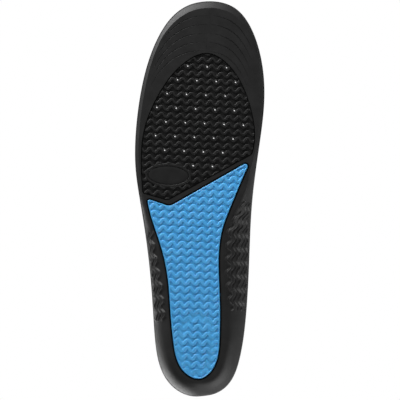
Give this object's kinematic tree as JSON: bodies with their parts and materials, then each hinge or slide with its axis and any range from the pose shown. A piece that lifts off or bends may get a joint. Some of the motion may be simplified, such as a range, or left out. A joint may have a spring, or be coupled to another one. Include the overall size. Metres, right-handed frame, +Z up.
{
  "type": "shoe insole",
  "caption": "Full-length cushioned insole for a right shoe: foam body with cupped heel, fabric cover, vented ribbed forefoot pad and a gel insert from arch to heel underneath.",
  "frame": {"origin": "on the floor under the insole, at the middle of its bounding box", "axes": "+Y from heel to toe, +X towards the little-toe side, +Z up to the foot side; the underside lies on z = 0"},
  "size_m": [0.0972, 0.2971, 0.0242],
  "materials": {
    "cover_fabric": "close-knit dark polyester, matt",
    "bond_film": "thin adhesive film",
    "body_foam": "moulded closed-cell foam with a fine satin skin",
    "pad_foam": "moulded ribbed foam, satin",
    "blue_gel": "soft moulded gel, satin"
  },
  "bodies": {
    "root": {"top_cover": "cover_fabric", "cover_bond_film": "bond_film", "foam_body": "body_foam", "forefoot_pad": "pad_foam", "pad_bond_film": "bond_film", "gel_insert": "blue_gel", "insert_bond_film": "bond_film"}
  },
  "joints": []
}
